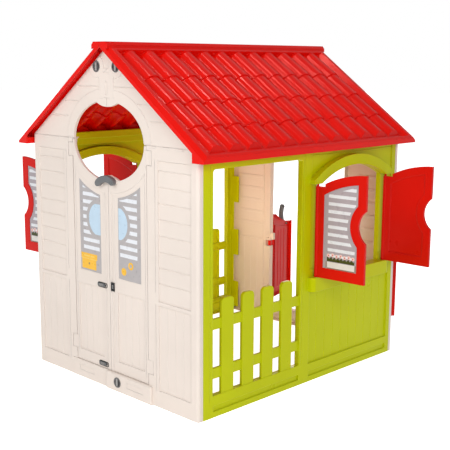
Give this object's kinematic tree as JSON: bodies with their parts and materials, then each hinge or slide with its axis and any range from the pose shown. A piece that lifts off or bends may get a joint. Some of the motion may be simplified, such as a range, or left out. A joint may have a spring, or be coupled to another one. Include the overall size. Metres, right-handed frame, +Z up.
{
  "type": "plastic playhouse",
  "caption": "Child-size moulded play cabin with tiled gable roof, split front doors, low rear doors, fence bays and arched windows with swinging shutters.",
  "frame": {"origin": "on the ground at the middle of the front threshold, in the outer plane of the front wall", "axes": "+Z up, +X to the right seen from the front, +Y from the front wall into the house"},
  "size_m": [1.482, 1.4674, 1.359],
  "materials": {
    "cream_plastic": "satin moulded plastic",
    "green_plastic": "satin moulded plastic",
    "red_plastic": "satin moulded plastic",
    "red_roof_plastic": "satin moulded plastic",
    "grey_latch_plastic": "satin",
    "dark_grey_plastic": "satin",
    "black_plastic": "satin",
    "door_sticker": "printed vinyl",
    "shutter_sticker": "printed vinyl"
  },
  "bodies": {
    "house": {"front_gable": "cream_plastic", "front_left_wall": "cream_plastic", "front_right_wall": "cream_plastic", "back_gable": "cream_plastic", "back_left_wall": "cream_plastic", "back_right_wall": "cream_plastic", "left_wall": "green_plastic", "right_wall": "green_plastic", "roof_front_left": "red_roof_plastic", "roof_front_right": "red_roof_plastic", "roof_back_left": "red_roof_plastic", "roof_back_right": "red_roof_plastic", "front_gable_screws": "dark_grey_plastic", "back_gable_screws": "dark_grey_plastic", "front_sill_screw": "dark_grey_plastic", "back_sill_screw": "dark_grey_plastic", "front_left_hinge_pins": "cream_plastic", "front_right_hinge_pins": "cream_plastic", "back_left_hinge_pins": "cream_plastic", "back_right_hinge_pins": "cream_plastic"},
    "right_front_shutter": {"right_front_shutter": "red_plastic", "right_front_shutter_sticker": "shutter_sticker"},
    "right_rear_shutter": {"right_rear_shutter": "red_plastic", "right_rear_shutter_sticker": "shutter_sticker"},
    "left_front_shutter": {"left_front_shutter": "red_plastic", "left_front_shutter_sticker": "shutter_sticker"},
    "left_rear_shutter": {"left_rear_shutter": "red_plastic", "left_rear_shutter_sticker": "shutter_sticker"},
    "front_left_door": {"front_left_door": "cream_plastic", "front_left_door_sticker": "door_sticker", "upper_bolt_plate": "black_plastic", "lower_bolt_plate": "black_plastic"},
    "front_right_door": {"front_right_door": "cream_plastic", "front_right_door_sticker": "door_sticker", "front_latch_screw": "grey_latch_plastic", "bolt_keeper": "black_plastic"},
    "front_latch": {"front_latch": "grey_latch_plastic", "front_latch_peg": "grey_latch_plastic"},
    "upper_bolt": {"upper_bolt": "grey_latch_plastic"},
    "lower_bolt": {"lower_bolt": "grey_latch_plastic"},
    "back_left_door": {"back_left_door": "red_plastic", "back_latch_screw": "grey_latch_plastic"},
    "back_right_door": {"back_right_door": "red_plastic"},
    "back_latch": {"back_latch": "grey_latch_plastic", "back_latch_peg": "grey_latch_plastic"}
  },
  "joints": [
    {"name": "right_front_shutter_turn", "type": "hinge", "parent": "house", "child": "right_front_shutter", "pos_m": [0.515, 0.638, 0.65], "axis": [0, 0, 1], "range_deg": [-84, 84]},
    {"name": "right_rear_shutter_turn", "type": "hinge", "parent": "house", "child": "right_rear_shutter", "pos_m": [0.515, 1.096, 0.65], "axis": [0, 0, -1], "range_deg": [-77, 91]},
    {"name": "left_rear_shutter_turn", "type": "hinge", "parent": "house", "child": "left_rear_shutter", "pos_m": [-0.515, 0.572, 0.65], "axis": [0, 0, 1], "range_deg": [-84, 84]},
    {"name": "left_front_shutter_turn", "type": "hinge", "parent": "house", "child": "left_front_shutter", "pos_m": [-0.515, 0.114, 0.65], "axis": [0, 0, -1], "range_deg": [-77, 91]},
    {"name": "front_right_door_swing", "type": "hinge", "parent": "house", "child": "front_right_door", "pos_m": [0.239, 0.006, 0.5], "axis": [0, 0, 1], "range_deg": [0, 100]},
    {"name": "front_left_door_swing", "type": "hinge", "parent": "house", "child": "front_left_door", "pos_m": [-0.239, 0.006, 0.5], "axis": [0, 0, -1], "range_deg": [0, 100]},
    {"name": "back_left_door_swing", "type": "hinge", "parent": "house", "child": "back_left_door", "pos_m": [-0.239, 1.204, 0.3], "axis": [0, 0, 1], "range_deg": [-107, 30]},
    {"name": "back_right_door_swing", "type": "hinge", "parent": "house", "child": "back_right_door", "pos_m": [0.239, 1.204, 0.3], "axis": [0, 0, -1], "range_deg": [-131, 6]},
    {"name": "front_latch_turn", "type": "hinge", "parent": "front_right_door", "child": "front_latch", "pos_m": [0.044, -0.015, 0.83599], "axis": [0, 1, 0], "range_deg": [0, 105]},
    {"name": "back_latch_turn", "type": "hinge", "parent": "back_left_door", "child": "back_latch", "pos_m": [-0.31609, 1.38434, 0.45899], "axis": [0.9563, 0.2924, 0], "range_deg": [-96, 9]},
    {"name": "upper_bolt_slide", "type": "slide", "parent": "front_left_door", "child": "upper_bolt", "axis": [1, 0, 0], "range_m": [0, 0.01]},
    {"name": "lower_bolt_slide", "type": "slide", "parent": "front_left_door", "child": "lower_bolt", "axis": [1, 0, 0], "range_m": [0, 0.01]}
  ],
  "couplings": [
    {"joint": "front_left_door_swing", "follows": "front_right_door_swing", "ratio": 1}
  ]
}
